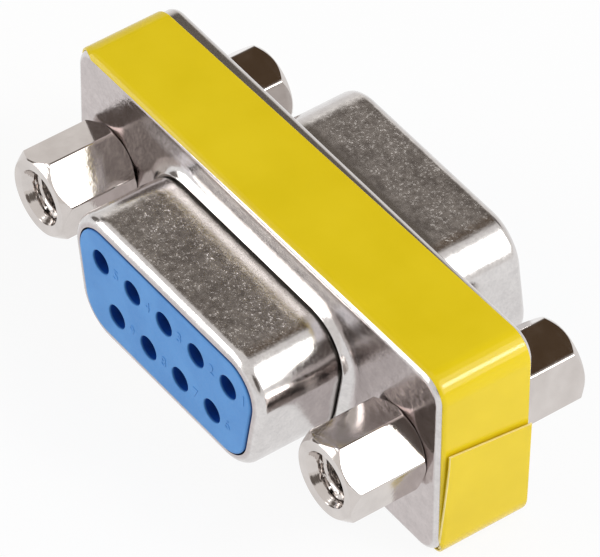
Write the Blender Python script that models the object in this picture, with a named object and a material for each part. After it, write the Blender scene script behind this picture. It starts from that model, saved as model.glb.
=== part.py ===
"""A slim nine-way D-sub gender changer with a socket face at each end.

Two drawn steel pans stand back to back. Each has a D-shaped shroud round a blue moulded insulator, and
the rear one is upside down against the front one. Nine double-ended contacts join the faces, two jack
screws and two jack nuts clamp the pans, and a yellow vinyl label wraps their edges.

Frame: +X to the right of someone who looks at the front face, +Y from the front face to the rear face,
+Z up. The origin is the middle of the contact grid, halfway between the two faces.
Lengths are in millimetres and become metres where a mesh is made.
"""

from math import cos, pi, radians, sin, tan

import bmesh
import bpy

MM = 0.001

# Contact grid
PIN_PITCH = 2.77
ROW_SPACING = 2.84
LONG_ROW_PINS = 5

# Sheet metal shared by both pans
SHEET = 0.38
BEND_INNER_RADIUS = 0.05
PLATE_CORNER_RADIUS = 1.4

# Shroud: the collar that a mating plug slides over
SHROUD_SIDE_MARGIN = 2.625
SHROUD_TOP_MARGIN = 2.53
SHROUD_CORNER_RADIUS = 2.6
SHROUD_SIDE_ANGLE = 10.0
SHROUD_DEPTH = 5.55
ROOT_RADIUS = 1.0
RIM_INNER_RADIUS = 0.2
RIM_LIP = 0.05

# Body between the two mating sides
BODY_THICKNESS = 5.95
PLATE_EDGE_MARGIN = 1.2
PLATE_END_MARGIN = 0.53
PAN_SEAM_GAP = 0.1

# Jack sockets
HEX_ACROSS_FLATS = 4.5
HEX_MOUTH_INSET = 0.06
HEX_MOUTH_ANGLE = 50.0
HEX_SEAT_ANGLE = 40.0
JACK_TO_ROOT = 0.73
SCREW_HEX_LENGTH = 4.7
NUT_HEX_LENGTH = 4.1
THREAD_MAJOR = 2.84
THREAD_PITCH = 0.635
PITCH_LINE_FACTOR = 0.6495
SCREW_BORE_DEPTH = 4.0
BORE_TIP_ANGLE = 60.0
BORE_TIP_RADIUS = 0.12
COUNTERSINK_EXTRA = 0.42
COUNTERSINK_ANGLE = 32.0
STUD_ENGAGEMENT = 2.2
STUD_CHAMFER = 0.25
PLATE_HOLE_CLEARANCE = 0.1
THREAD_CLEARANCE = 0.03
HEX_SEAT_GAP = 0.02
SCREW_HEX_TURN = {"left": 50.0, "right": 46.0}
NUT_HEX_TURN = {"left": 75.0, "right": 76.0}

# Insulators
NOSE_PROUD = 0.1
NOSE_CLEARANCE = 0.05
NOSE_CHAMFER = 0.15
FLANGE_WALL_GAP = 0.3
FLANGE_SEAT_GAP = 0.02
INSULATOR_JOINT_GAP = 0.04
ENTRY_DIAMETER = 1.4
ENTRY_WALL = 0.8

# Contacts
BARREL_DIAMETER = 1.6
BARREL_WALL = 0.27
BARREL_LENGTH = 5.2
BARREL_END_WALL = 0.6
BARREL_LEAD_IN = 0.1
SLIT_WIDTH = 0.25
SLIT_LENGTH = 3.2
STRIP_THICKNESS = 0.3
STRIP_WIDTH = 1.0
STRIP_BEND_DEPTH = 1.6
CONTACT_CLEARANCE = 0.05

# Label
LABEL_THICKNESS = 0.12
LABEL_GLUE_GAP = 0.02
LABEL_FRONT_MARGIN = {"left": -0.08, "right": 0.2}
LABEL_REAR_MARGIN = {"left": 0.95, "right": 0.35}
LABEL_LEFT_END_SETBACK = 0.5
LABEL_UNDER_SETBACK = 0.35
LABEL_EDGE_RUN = 0.45
LABEL_SEAM_HEIGHT = 1.05
LABEL_SEAM_SLOPE = 0.13
LABEL_END_SETBACK = 0.25
LABEL_END_LIFT = 0.12
LABEL_COVERED_END = 315.0
LABEL_RISE_START = 276.0
LABEL_RISE_END = 308.0

# Fineness of the round shapes
CORNER_STEPS = 7
FILLET_STEPS = 5
BEND_STEPS = 4
TURN_STEPS = 32
BARREL_STEPS = 16
LABEL_EDGE_STEPS = 3
LABEL_RUN_STEPS = 6
LABEL_LAP_STEPS = 4
SMOOTH_ANGLE = 30.0
CUT_MARGIN = 1.0

# Sizes that follow from the driving dimensions
BEND_RADIUS = BEND_INNER_RADIUS + SHEET
RIM_RADIUS = RIM_INNER_RADIUS + SHEET
SHROUD_WIDTH = (LONG_ROW_PINS - 1) * PIN_PITCH + 2 * SHROUD_SIDE_MARGIN
SHROUD_HEIGHT = ROW_SPACING + 2 * SHROUD_TOP_MARGIN
HEX_CORNER_RADIUS = HEX_ACROSS_FLATS / 2 / cos(pi / 6)
JACK_X = SHROUD_WIDTH / 2 + ROOT_RADIUS + JACK_TO_ROOT + HEX_CORNER_RADIUS
PLATE_WIDTH = 2 * (JACK_X + HEX_CORNER_RADIUS + PLATE_END_MARGIN)
PLATE_HEIGHT = SHROUD_HEIGHT + 2 * (ROOT_RADIUS + PLATE_EDGE_MARGIN)
PLATE_DEPTH = BODY_THICKNESS / 2
RIM_DEPTH = PLATE_DEPTH + SHROUD_DEPTH
FACE_DEPTH = RIM_DEPTH + NOSE_PROUD
THREAD_MEAN = THREAD_MAJOR - PITCH_LINE_FACTOR * THREAD_PITCH
BARREL_MOUTH_DEPTH = FACE_DEPTH - ENTRY_WALL - CONTACT_CLEARANCE
BARREL_INNER_DEPTH = BARREL_MOUTH_DEPTH - BARREL_LENGTH
ROW_Z = ROW_SPACING / 2

SIDES = {"left": -1, "right": 1}

# Finishes as colour, roughness and metallic value
PLATED_STEEL = ((0.62, 0.60, 0.58), 0.28, 1.0)
PLATED_BRASS = ((0.66, 0.63, 0.60), 0.2, 1.0)
BLUE_PLASTIC = ((0.14, 0.32, 0.66), 0.45, 0.0)
CONTACT_BRASS = ((0.75, 0.55, 0.22), 0.3, 1.0)
YELLOW_VINYL = ((0.80, 0.62, 0.02), 0.25, 0.0)


def clear_scene():
    """Empty the scene so that the script can be run again."""
    for old in list(bpy.data.objects):
        bpy.data.objects.remove(old, do_unlink=True)


def make_material(name, finish):
    """Give a Principled material of one colour, roughness and metallic value."""
    colour, roughness, metallic = finish
    material = bpy.data.materials.new(name)
    material.use_nodes = True
    shader = material.node_tree.nodes["Principled BSDF"]
    shader.inputs["Base Color"].default_value = (*colour, 1.0)
    shader.inputs["Roughness"].default_value = roughness
    shader.inputs["Metallic"].default_value = metallic
    material.diffuse_color = (*colour, 1.0)
    return material


def finish_mesh(bm, name):
    """Scale a millimetre mesh to metres, turn its faces outward and shade its round areas smooth."""
    for vert in bm.verts:
        vert.co *= MM
    bmesh.ops.recalc_face_normals(bm, faces=bm.faces)
    mesh = bpy.data.meshes.new(name)
    bm.to_mesh(mesh)
    bm.free()
    mesh.shade_smooth()
    mesh.set_sharp_from_angle(angle=radians(SMOOTH_ANGLE))
    return mesh


def place(name, mesh, finish=None, location=(0, 0, 0), rotation=(0, 0, 0)):
    """Put a mesh in the scene as a named object, with its location in millimetres.

    The material belongs to the object, because several objects can share a mesh.
    """
    obj = bpy.data.objects.new(name, mesh)
    obj.location = [value * MM for value in location]
    obj.rotation_euler = rotation
    bpy.context.scene.collection.objects.link(obj)
    if finish is not None:
        if not mesh.materials:
            mesh.materials.append(None)
        obj.material_slots[0].link = "OBJECT"
        obj.material_slots[0].material = make_material(f"{name}_finish", finish)
    return obj


def place_cutter(name, mesh, location=(0, 0, 0), rotation=(0, 0, 0)):
    """Put a mesh in the scene as a tool for Booleans, which is not part of the model."""
    cutter = place(name, mesh, None, location, rotation)
    cutter.hide_render = True
    cutter.display_type = "WIRE"
    return cutter


def add_boolean(obj, operation, cutter):
    """Add one exact Boolean to an object."""
    boolean = obj.modifiers.new(f"{operation.lower()} {cutter.name}", "BOOLEAN")
    boolean.operation = operation
    boolean.solver = "EXACT"
    boolean.object = cutter


def baked_mesh(name, base_mesh, steps):
    """Run Booleans on a mesh and give the result, which several objects can share."""
    base = place("base_blank", base_mesh)
    helpers = [place_cutter(f"step_{index}", mesh) for index, (_, mesh) in enumerate(steps)]
    for (operation, _), helper in zip(steps, helpers):
        add_boolean(base, operation, helper)
    depsgraph = bpy.context.evaluated_depsgraph_get()
    mesh = bpy.data.meshes.new_from_object(base.evaluated_get(depsgraph))
    mesh.name = name
    for used in [base, *helpers]:
        bpy.data.objects.remove(used, do_unlink=True)
    mesh.shade_smooth()
    mesh.set_sharp_from_angle(angle=radians(SMOOTH_ANGLE))
    return mesh


def bridge(bm, loops, closed=False):
    """Join a list of equal vertex loops with quads, and join the last to the first if closed."""
    pairs = list(zip(loops, loops[1:]))
    if closed:
        pairs.append((loops[-1], loops[0]))
    for first, second in pairs:
        count = len(first)
        for index in range(count):
            following = (index + 1) % count
            bm.faces.new((first[index], first[following], second[following], second[index]))


def fill_solid(bm, loops):
    """Make one closed solid from a list of equal vertex loops, with a flat cap at each end."""
    bridge(bm, loops)
    bm.faces.new(loops[0])
    bm.faces.new(loops[-1])


def arc(start, end, steps):
    """Angles in radians from start to end, given in degrees."""
    return [radians(start + (end - start) * step / steps) for step in range(steps + 1)]


def ring_loop(bm, radius, depth, steps, x=0.0, z=0.0, start=0.0):
    """One loop of vertices round an axis along Y, at a depth in front of the mid-plane."""
    loop = []
    for step in range(steps):
        angle = start + 2 * pi * step / steps
        loop.append(bm.verts.new((x + radius * cos(angle), -depth, z + radius * sin(angle))))
    return loop


def turned_mesh(name, profile, steps):
    """Turn a profile of (radius, depth) points round the Y axis. A depth d lies at y = -d."""
    bm = bmesh.new()
    fill_solid(bm, [ring_loop(bm, radius, depth, steps) for radius, depth in profile])
    return finish_mesh(bm, name)


class Outline:
    """A rounded four-cornered outline in the XZ plane, which can be offset outward."""

    def __init__(self, corners, radius):
        self.corners = corners
        self.radius = radius

    def points(self, offset=0.0):
        result = []
        reach = self.radius + offset
        for centre_x, centre_z, start, end in self.corners:
            for angle in arc(start, end, CORNER_STEPS):
                result.append((centre_x + reach * cos(angle), centre_z + reach * sin(angle)))
        return result


def plate_outline():
    """The rounded rectangle of the plates."""
    x = PLATE_WIDTH / 2 - PLATE_CORNER_RADIUS
    z = PLATE_HEIGHT / 2 - PLATE_CORNER_RADIUS
    corners = [(x, z, 0, 90), (-x, z, 90, 180), (-x, -z, 180, 270), (x, -z, 270, 360)]
    return Outline(corners, PLATE_CORNER_RADIUS)


def shroud_outline():
    """The D shape of the shroud, with its wide side up."""
    lean = SHROUD_SIDE_ANGLE
    z = SHROUD_HEIGHT / 2 - SHROUD_CORNER_RADIUS
    top_x = SHROUD_WIDTH / 2 - SHROUD_CORNER_RADIUS
    bottom_x = top_x - 2 * z * tan(radians(lean))
    corners = [
        (top_x, z, -lean, 90),
        (-top_x, z, 90, 180 + lean),
        (-bottom_x, -z, 180 + lean, 270),
        (bottom_x, -z, 270, 360 - lean),
    ]
    return Outline(corners, SHROUD_CORNER_RADIUS)


PLATE = plate_outline()
SHROUD = shroud_outline()


def outline_loop(bm, outline, offset, depth):
    """One loop of vertices round an outline, at a depth in front of the mid-plane."""
    return [bm.verts.new((x, -depth, z)) for x, z in outline.points(offset)]


def shell_section():
    """The section of a pan, from its free edge over the outside to the rim and back inside."""
    section = [(PLATE, 0.0, PAN_SEAM_GAP / 2)]
    for angle in arc(0, 90, BEND_STEPS):
        inset = BEND_RADIUS * (1 - cos(angle))
        section.append((PLATE, -inset, PLATE_DEPTH - BEND_RADIUS + BEND_RADIUS * sin(angle)))
    root_depth = PLATE_DEPTH + ROOT_RADIUS
    for angle in arc(0, 90, FILLET_STEPS):
        offset = ROOT_RADIUS * (1 - sin(angle))
        section.append((SHROUD, offset, root_depth - ROOT_RADIUS * cos(angle)))
    rim_centre = RIM_DEPTH - RIM_RADIUS
    for angle in arc(0, 90, BEND_STEPS):
        offset = RIM_RADIUS * (cos(angle) - 1)
        section.append((SHROUD, offset, rim_centre + RIM_RADIUS * sin(angle)))
    section.append((SHROUD, -RIM_RADIUS - RIM_LIP, RIM_DEPTH))
    section.append((SHROUD, -RIM_RADIUS - RIM_LIP, RIM_DEPTH - SHEET))
    for angle in arc(90, 0, BEND_STEPS):
        offset = RIM_INNER_RADIUS * cos(angle) - RIM_RADIUS
        section.append((SHROUD, offset, rim_centre + RIM_INNER_RADIUS * sin(angle)))
    inner_root = ROOT_RADIUS + SHEET
    for angle in arc(90, 0, FILLET_STEPS):
        offset = ROOT_RADIUS - inner_root * sin(angle)
        section.append((SHROUD, offset, root_depth - inner_root * cos(angle)))
    for angle in arc(90, 0, BEND_STEPS):
        inset = BEND_RADIUS - BEND_INNER_RADIUS * cos(angle)
        depth = PLATE_DEPTH - BEND_RADIUS + BEND_INNER_RADIUS * sin(angle)
        section.append((PLATE, -inset, depth))
    section.append((PLATE, -SHEET, PAN_SEAM_GAP / 2))
    return section


def shell_mesh():
    """One drawn pan with its shroud, facing forward, before its two holes."""
    bm = bmesh.new()
    loops = [outline_loop(bm, *station) for station in shell_section()]
    bridge(bm, loops, closed=True)
    return finish_mesh(bm, "pan")


def hole_mesh():
    """A round rod through both plates that clears the stud."""
    radius = THREAD_MAJOR / 2 + PLATE_HOLE_CLEARANCE
    reach = PLATE_DEPTH + CUT_MARGIN
    return turned_mesh("stud_hole", [(radius, -reach), (radius, reach)], TURN_STEPS)


def build_shells():
    """The front pan, and the rear pan turned over the X axis."""
    hole = hole_mesh()
    cutters = [
        place_cutter(f"stud_hole_{side}", hole, location=(sign * JACK_X, 0, 0))
        for side, sign in SIDES.items()
    ]
    for name, turn in (("front_shell", 0.0), ("rear_shell", pi)):
        shell = place(name, shell_mesh(), PLATED_STEEL, rotation=(turn, 0, 0))
        for cutter in cutters:
            add_boolean(shell, "DIFFERENCE", cutter)


def pin_places():
    """Number, x and front height of each contact, numbered from the right of the long row."""
    places = []
    for row, count in ((1, LONG_ROW_PINS), (-1, LONG_ROW_PINS - 1)):
        for index in range(count):
            x = ((count - 1) / 2 - index) * PIN_PITCH
            places.append((len(places) + 1, x, row * ROW_Z))
    return places


def insulator_mesh():
    """One insulator block facing forward: a flange behind the plate and a nose in the shroud."""
    bm = bmesh.new()
    flange = ROOT_RADIUS + PLATE_EDGE_MARGIN - SHEET - FLANGE_WALL_GAP
    nose = -RIM_RADIUS - RIM_LIP - NOSE_CLEARANCE
    seat = PLATE_DEPTH - SHEET - FLANGE_SEAT_GAP
    section = [
        (flange, INSULATOR_JOINT_GAP / 2),
        (flange, seat),
        (nose, seat),
        (nose, FACE_DEPTH - NOSE_CHAMFER),
        (nose - NOSE_CHAMFER, FACE_DEPTH),
    ]
    fill_solid(bm, [outline_loop(bm, SHROUD, offset, depth) for offset, depth in section])
    return finish_mesh(bm, "insulator")


def channel_mesh(name, face_sign):
    """The round channels of all nine contacts in the block on one side, as separate rods."""
    entry_radius = ENTRY_DIAMETER / 2
    bore_radius = BARREL_DIAMETER / 2 + CONTACT_CLEARANCE
    bore_end = BARREL_INNER_DEPTH - CONTACT_CLEARANCE
    profile = [
        (bore_radius, bore_end),
        (bore_radius, FACE_DEPTH - ENTRY_WALL),
        (entry_radius, FACE_DEPTH - ENTRY_WALL),
        (entry_radius, FACE_DEPTH + CUT_MARGIN),
    ]
    bm = bmesh.new()
    for _, x, front_z in pin_places():
        z = face_sign * front_z
        loops = [
            ring_loop(bm, radius, face_sign * depth, BARREL_STEPS, x, z) for radius, depth in profile
        ]
        fill_solid(bm, loops)
    return finish_mesh(bm, name)


def slot_mesh():
    """The flat slots in which the contacts change row, as nine separate boxes."""
    half_x = STRIP_THICKNESS / 2 + CONTACT_CLEARANCE
    half_y = BARREL_INNER_DEPTH - CONTACT_CLEARANCE
    half_z = ROW_Z + STRIP_WIDTH / 2 + CONTACT_CLEARANCE
    bm = bmesh.new()
    for _, x, _ in pin_places():
        box = bmesh.ops.create_cube(bm, size=2.0)
        for vert in box["verts"]:
            vert.co.x = x + vert.co.x * half_x
            vert.co.y *= half_y
            vert.co.z *= half_z
    return finish_mesh(bm, "row_change_slots")


def build_insulators():
    """The front block, and the rear block turned over the X axis."""
    slots = place_cutter("row_change_slots", slot_mesh())
    for name, turn, face_sign in (("front_insulator", 0.0, 1), ("rear_insulator", pi, -1)):
        block = place(name, insulator_mesh(), BLUE_PLASTIC, rotation=(turn, 0, 0))
        channels = place_cutter(f"{name}_channels", channel_mesh(f"{name}_channels", face_sign))
        add_boolean(block, "DIFFERENCE", channels)
        add_boolean(block, "DIFFERENCE", slots)


def barrel_mesh(name, face_sign):
    """A socket barrel with a closed inner end, on the front or the rear of a long-row contact."""
    outer = BARREL_DIAMETER / 2
    inner = outer - BARREL_WALL
    floor_depth = BARREL_INNER_DEPTH + BARREL_END_WALL
    profile = [
        (outer, BARREL_INNER_DEPTH),
        (outer, BARREL_MOUTH_DEPTH),
        (inner + BARREL_LEAD_IN, BARREL_MOUTH_DEPTH),
        (inner, BARREL_MOUTH_DEPTH - BARREL_LEAD_IN),
        (inner, floor_depth),
    ]
    bm = bmesh.new()
    z = face_sign * ROW_Z
    half_step = pi / BARREL_STEPS
    loops = [
        ring_loop(bm, radius, face_sign * depth, BARREL_STEPS, z=z, start=half_step)
        for radius, depth in profile
    ]
    fill_solid(bm, loops)
    return finish_mesh(bm, name)


def slit_mesh(name, face_sign):
    """The slit that splits a barrel into two springy halves."""
    near = BARREL_MOUTH_DEPTH - SLIT_LENGTH
    far = BARREL_MOUTH_DEPTH + CUT_MARGIN
    bm = bmesh.new()
    box = bmesh.ops.create_cube(bm, size=2.0)
    for vert in box["verts"]:
        depth = far if vert.co.y > 0 else near
        vert.co.x *= BARREL_DIAMETER
        vert.co.y = -face_sign * depth
        vert.co.z = face_sign * ROW_Z + vert.co.z * SLIT_WIDTH / 2
    return finish_mesh(bm, name)


def strip_mesh():
    """The flat strip that joins the two barrels and changes row on its way."""
    end_y = BARREL_INNER_DEPTH + BARREL_END_WALL / 2
    centre = [
        (-end_y, ROW_Z),
        (-STRIP_BEND_DEPTH, ROW_Z),
        (STRIP_BEND_DEPTH, -ROW_Z),
        (end_y, -ROW_Z),
    ]
    half = STRIP_WIDTH / 2
    edge = [(y, z + half) for y, z in centre] + [(y, z - half) for y, z in reversed(centre)]
    bm = bmesh.new()
    left = [bm.verts.new((-STRIP_THICKNESS / 2, y, z)) for y, z in edge]
    right = [bm.verts.new((STRIP_THICKNESS / 2, y, z)) for y, z in edge]
    fill_solid(bm, [left, right])
    return finish_mesh(bm, "strip")


def build_contacts():
    """Nine contacts that share one mesh. The short row's are turned over the Y axis."""
    steps = [
        ("UNION", barrel_mesh("rear_barrel", -1)),
        ("UNION", strip_mesh()),
        ("DIFFERENCE", slit_mesh("front_slit", 1)),
        ("DIFFERENCE", slit_mesh("rear_slit", -1)),
    ]
    contact = baked_mesh("contact", barrel_mesh("front_barrel", 1), steps)
    for number, x, front_z in pin_places():
        turn = 0.0 if front_z > 0 else pi
        place(f"contact_{number}", contact, CONTACT_BRASS, (x, 0, 0), (0, turn, 0))


def hex_mesh(name, near, far):
    """A hexagonal bar along Y between two depths, with one flat facing +X."""
    bm = bmesh.new()
    loops = [ring_loop(bm, HEX_CORNER_RADIUS, depth, 6, start=pi / 6) for depth in (near, far)]
    fill_solid(bm, loops)
    return finish_mesh(bm, name)


def chamfer_mesh(name, seat, mouth):
    """A turned body that bevels both ends of a hexagonal bar, the mouth end more than the seat end."""
    flat_radius = HEX_ACROSS_FLATS / 2
    mouth_radius = flat_radius - HEX_MOUTH_INSET
    wide_radius = HEX_CORNER_RADIUS + CUT_MARGIN
    seat_run = (wide_radius - flat_radius) * tan(radians(HEX_SEAT_ANGLE))
    mouth_run = (wide_radius - mouth_radius) * tan(radians(HEX_MOUTH_ANGLE))
    profile = [
        (flat_radius, seat),
        (wide_radius, seat + seat_run),
        (wide_radius, mouth - mouth_run),
        (mouth_radius, mouth),
    ]
    return turned_mesh(name, profile, TURN_STEPS)


def mouth_profile(radius, mouth):
    """The countersunk mouth of a bore that opens outward at a depth."""
    wide = radius + COUNTERSINK_EXTRA
    depth = COUNTERSINK_EXTRA / tan(radians(COUNTERSINK_ANGLE))
    return [(radius, mouth - depth), (wide, mouth), (wide, mouth + CUT_MARGIN)]


def screw_bore_mesh(mouth):
    """The blind threaded hole of a jack screw, at the thread's mean diameter, with a drill point."""
    radius = THREAD_MEAN / 2
    floor = mouth - SCREW_BORE_DEPTH
    tip = floor - (radius - BORE_TIP_RADIUS) / tan(radians(BORE_TIP_ANGLE))
    profile = [(BORE_TIP_RADIUS, tip), (radius, floor), *mouth_profile(radius, mouth)]
    return turned_mesh("bore", profile, TURN_STEPS)


def stud_mesh(seat):
    """The stud of a jack screw. A plain shank runs through the pans and a threaded end into the nut."""
    shank_radius = THREAD_MAJOR / 2
    end_radius = THREAD_MEAN / 2 - THREAD_CLEARANCE
    end = -PLATE_DEPTH - STUD_ENGAGEMENT
    profile = [
        (end_radius - STUD_CHAMFER, end),
        (end_radius, end + STUD_CHAMFER),
        (end_radius, -PLATE_DEPTH + SHEET),
        (shank_radius, -PLATE_DEPTH + SHEET),
        (shank_radius, seat + CUT_MARGIN / 2),
    ]
    return turned_mesh("stud", profile, TURN_STEPS)


def jack_screw_mesh():
    """A hexagonal jack socket with a stud, on the Y axis."""
    seat = PLATE_DEPTH + HEX_SEAT_GAP
    mouth = seat + SCREW_HEX_LENGTH
    steps = [
        ("INTERSECT", chamfer_mesh("bevels", seat, mouth)),
        ("UNION", stud_mesh(seat)),
        ("DIFFERENCE", screw_bore_mesh(mouth)),
    ]
    return baked_mesh("jack_screw", hex_mesh("screw_hex", seat, mouth), steps)


def jack_nut_mesh():
    """A hexagonal jack socket threaded right through, on the Y axis and facing forward."""
    seat = PLATE_DEPTH + HEX_SEAT_GAP
    mouth = seat + NUT_HEX_LENGTH
    radius = THREAD_MEAN / 2
    bore = [(radius, seat - CUT_MARGIN), *mouth_profile(radius, mouth)]
    steps = [
        ("INTERSECT", chamfer_mesh("bevels", seat, mouth)),
        ("DIFFERENCE", turned_mesh("bore", bore, TURN_STEPS)),
    ]
    return baked_mesh("jack_nut", hex_mesh("nut_hex", seat, mouth), steps)


def build_jacks():
    """Two jack screws on the front plate, and the two nuts that they draw up on the rear plate."""
    screw = jack_screw_mesh()
    nut = jack_nut_mesh()
    for side, sign in SIDES.items():
        place_x = sign * JACK_X
        screw_turn = radians(-SCREW_HEX_TURN[side])
        place(f"jack_screw_{side}", screw, PLATED_BRASS, (place_x, 0, 0), (0, screw_turn, 0))
        nut_turn = radians(-NUT_HEX_TURN[side])
        place(f"jack_nut_{side}", nut, PLATED_BRASS, (place_x, 0, 0), (pi, nut_turn, 0))


def label_edges(x, out_x, out_z):
    """How far the label reaches forward and backward from the mid-plane, along the sheet.

    It is a little askew, and its front edge lies further back round the left end and underneath.
    """
    share = x / PLATE_WIDTH + 0.5
    front = LABEL_FRONT_MARGIN["left"] * (1 - share) + LABEL_FRONT_MARGIN["right"] * share
    front += LABEL_LEFT_END_SETBACK * max(0.0, -out_x) + LABEL_UNDER_SETBACK * max(0.0, -out_z)
    rear = LABEL_REAR_MARGIN["left"] * (1 - share) + LABEL_REAR_MARGIN["right"] * share
    return PLATE_DEPTH - front, PLATE_DEPTH - rear


def on_sheet(reach, height):
    """Offset and depth of a point over a pan, at a reach along the sheet and a height above it."""
    flat = PLATE_DEPTH - BEND_RADIUS
    if reach <= flat:
        return height, reach
    angle = (reach - flat) / BEND_RADIUS
    radius = BEND_RADIUS + height
    return radius * cos(angle) - BEND_RADIUS, flat + radius * sin(angle)


def label_section(inner, front, rear):
    """Section of the label as (offset, y) points. It bends with the pans where it reaches their edges."""
    outer = inner + LABEL_THICKNESS
    insets = [LABEL_EDGE_RUN * step / LABEL_EDGE_STEPS for step in range(LABEL_EDGE_STEPS + 1)]
    section = []
    for height, order in ((outer, 1), (inner, -1)):
        line = []
        for inset in insets:
            offset, depth = on_sheet(front - inset, height)
            line.append((offset, -depth))
        for inset in reversed(insets):
            line.append(on_sheet(rear - inset, height))
        section.extend(line[::order])
    return section


def corner_stations(corner, start, steps, lift_at):
    """Stations round one corner of the plates from an angle on, with a lift for each angle."""
    centre_x, centre_z, _, end = corner
    stations = []
    for angle in arc(start, end, steps):
        out = (cos(angle), sin(angle))
        x = centre_x + PLATE_CORNER_RADIUS * out[0]
        z = centre_z + PLATE_CORNER_RADIUS * out[1]
        stations.append(((x, z), out, lift_at(angle), *label_edges(x, *out)))
    return stations


def run_stations(last, following):
    """Stations between two corners along a long edge of the plates."""
    (last_x, z), out = last[:2]
    next_x = following[0][0]
    stations = []
    for step in range(1, LABEL_RUN_STEPS):
        x = last_x + (next_x - last_x) * step / LABEL_RUN_STEPS
        stations.append(((x, z), out, 0.0, *label_edges(x, *out)))
    return stations


def label_stations():
    """Stations along the label from its covered end, up and round the plates, to its seam.

    Each one is (x, z) on the pans, the outward direction, the lift over the pans, and the front and
    rear reach. The covered end lies in the lower right corner, where the last turn rises over it.
    """
    lift = LABEL_THICKNESS + LABEL_GLUE_GAP

    def flat(angle):
        return 0.0

    def rising(angle):
        share = (angle - radians(LABEL_RISE_START)) / radians(LABEL_RISE_END - LABEL_RISE_START)
        share = min(max(share, 0.0), 1.0)
        return lift * share * share * (3 - 2 * share)

    upper_right, upper_left, lower_left, lower_right = PLATE.corners
    stations = corner_stations(lower_right, LABEL_COVERED_END, LABEL_LAP_STEPS, flat)
    for corner, lift_at in (
        (upper_right, flat), (upper_left, flat), (lower_left, flat), (lower_right, rising)
    ):
        turn = corner_stations(corner, corner[2], CORNER_STEPS, lift_at)
        if abs(turn[0][0][0] - stations[-1][0][0]) > PLATE_CORNER_RADIUS:
            stations.extend(run_stations(stations[-1], turn[0]))
        stations.extend(turn)
    side_x = PLATE_WIDTH / 2
    front, rear = label_edges(side_x, 1.0, 0.0)
    place = (side_x, LABEL_SEAM_HEIGHT)
    stations.append((place, (1.0, 0.0), lift + LABEL_END_LIFT, front - LABEL_END_SETBACK, rear))
    return stations


def build_label():
    """The vinyl strip, glued round both pans, with its last end lapped over its first."""
    bm = bmesh.new()
    loops = []
    stations = label_stations()
    for (x, z), (out_x, out_z), lift, front, rear in stations:
        section = label_section(LABEL_GLUE_GAP + lift, front, rear)
        loops.append([bm.verts.new((x + out_x * off, y, z + out_z * off)) for off, y in section])
    for vert in loops[-1]:
        vert.co.z -= LABEL_SEAM_SLOPE * vert.co.y
    fill_solid(bm, loops)
    place("label", finish_mesh(bm, "label"), YELLOW_VINYL)


def main():
    clear_scene()
    build_shells()
    build_insulators()
    build_contacts()
    build_jacks()
    build_label()


main()
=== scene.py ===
"""Looks for the slim nine-way D-sub gender changer.

Finer pieces stand for the pans, the insulators, the jack sockets and the label. The contacts keep their
own shape and get a better material. Sizes are in millimetres, in the same frame as the part.
"""

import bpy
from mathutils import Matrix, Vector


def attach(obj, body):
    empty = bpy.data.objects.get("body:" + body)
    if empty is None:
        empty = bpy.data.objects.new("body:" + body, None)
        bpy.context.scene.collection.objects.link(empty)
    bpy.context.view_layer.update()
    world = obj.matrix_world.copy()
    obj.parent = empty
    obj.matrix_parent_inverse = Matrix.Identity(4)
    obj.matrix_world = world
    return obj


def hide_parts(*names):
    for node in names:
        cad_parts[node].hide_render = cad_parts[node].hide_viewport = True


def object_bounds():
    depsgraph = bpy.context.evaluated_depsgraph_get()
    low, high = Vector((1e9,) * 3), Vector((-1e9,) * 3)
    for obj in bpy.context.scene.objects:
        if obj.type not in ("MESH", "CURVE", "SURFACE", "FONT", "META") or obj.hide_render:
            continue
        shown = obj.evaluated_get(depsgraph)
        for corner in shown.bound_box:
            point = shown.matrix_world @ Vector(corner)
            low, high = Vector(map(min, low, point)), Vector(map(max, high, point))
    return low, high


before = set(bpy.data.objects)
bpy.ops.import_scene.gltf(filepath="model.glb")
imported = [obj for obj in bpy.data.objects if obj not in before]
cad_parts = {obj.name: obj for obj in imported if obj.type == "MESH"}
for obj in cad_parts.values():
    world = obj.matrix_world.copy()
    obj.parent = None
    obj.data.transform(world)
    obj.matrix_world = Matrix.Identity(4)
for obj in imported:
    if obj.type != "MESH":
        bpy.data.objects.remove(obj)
cad_box = [list(corner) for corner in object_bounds()]

from math import atan, ceil, cos, pi, radians, sin, sqrt, tan

import bmesh
import bpy
from mathutils import Vector

MM = 0.001

# Contact grid
PIN_PITCH = 2.77
ROW_Z = 1.42
LONG_ROW_PINS = 5

# Pans
SHEET = 0.38
BEND_INNER_RADIUS = 0.05
BEND_RADIUS = BEND_INNER_RADIUS + SHEET
PLATE_WIDTH = 31.24
PLATE_HEIGHT = 12.3
PLATE_CORNER_RADIUS = 1.4
PLATE_DEPTH = 2.975
PAN_SEAM_GAP = 0.1
SHROUD_WIDTH = 16.33
SHROUD_HEIGHT = 7.9
SHROUD_CORNER_RADIUS = 2.6
SHROUD_SIDE_ANGLE = 10.0
ROOT_RADIUS = 1.0
RIM_INNER_RADIUS = 0.2
RIM_RADIUS = RIM_INNER_RADIUS + SHEET
RIM_LIP = 0.05
SHROUD_DEPTH = 5.55
RIM_DEPTH = PLATE_DEPTH + SHROUD_DEPTH
ROOT_ARC_END = 36.0
ROOT_LIP = 0.09
ROOT_LIP_FALL = 0.03
ROOT_LIP_RUN = 0.02
GROOVE_WIDTH = 0.18
GROOVE_DEPTH = 0.15
GROOVE_WALL_RUN = 0.01
NECK_SLOPE = 6.0
NECK_LENGTH = 1.0
STUD_HOLE_RADIUS = 1.52
STUD_HOLE_ENDS = (1, 4)
GROOVE_START = PLATE_DEPTH + ROOT_RADIUS * (1 - sin(radians(ROOT_ARC_END))) + ROOT_LIP_RUN
GROOVE_END = GROOVE_START + GROOVE_WIDTH - ROOT_LIP_RUN - GROOVE_WALL_RUN

# Gap between parts that touch
FIT_GAP = 0.02

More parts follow.
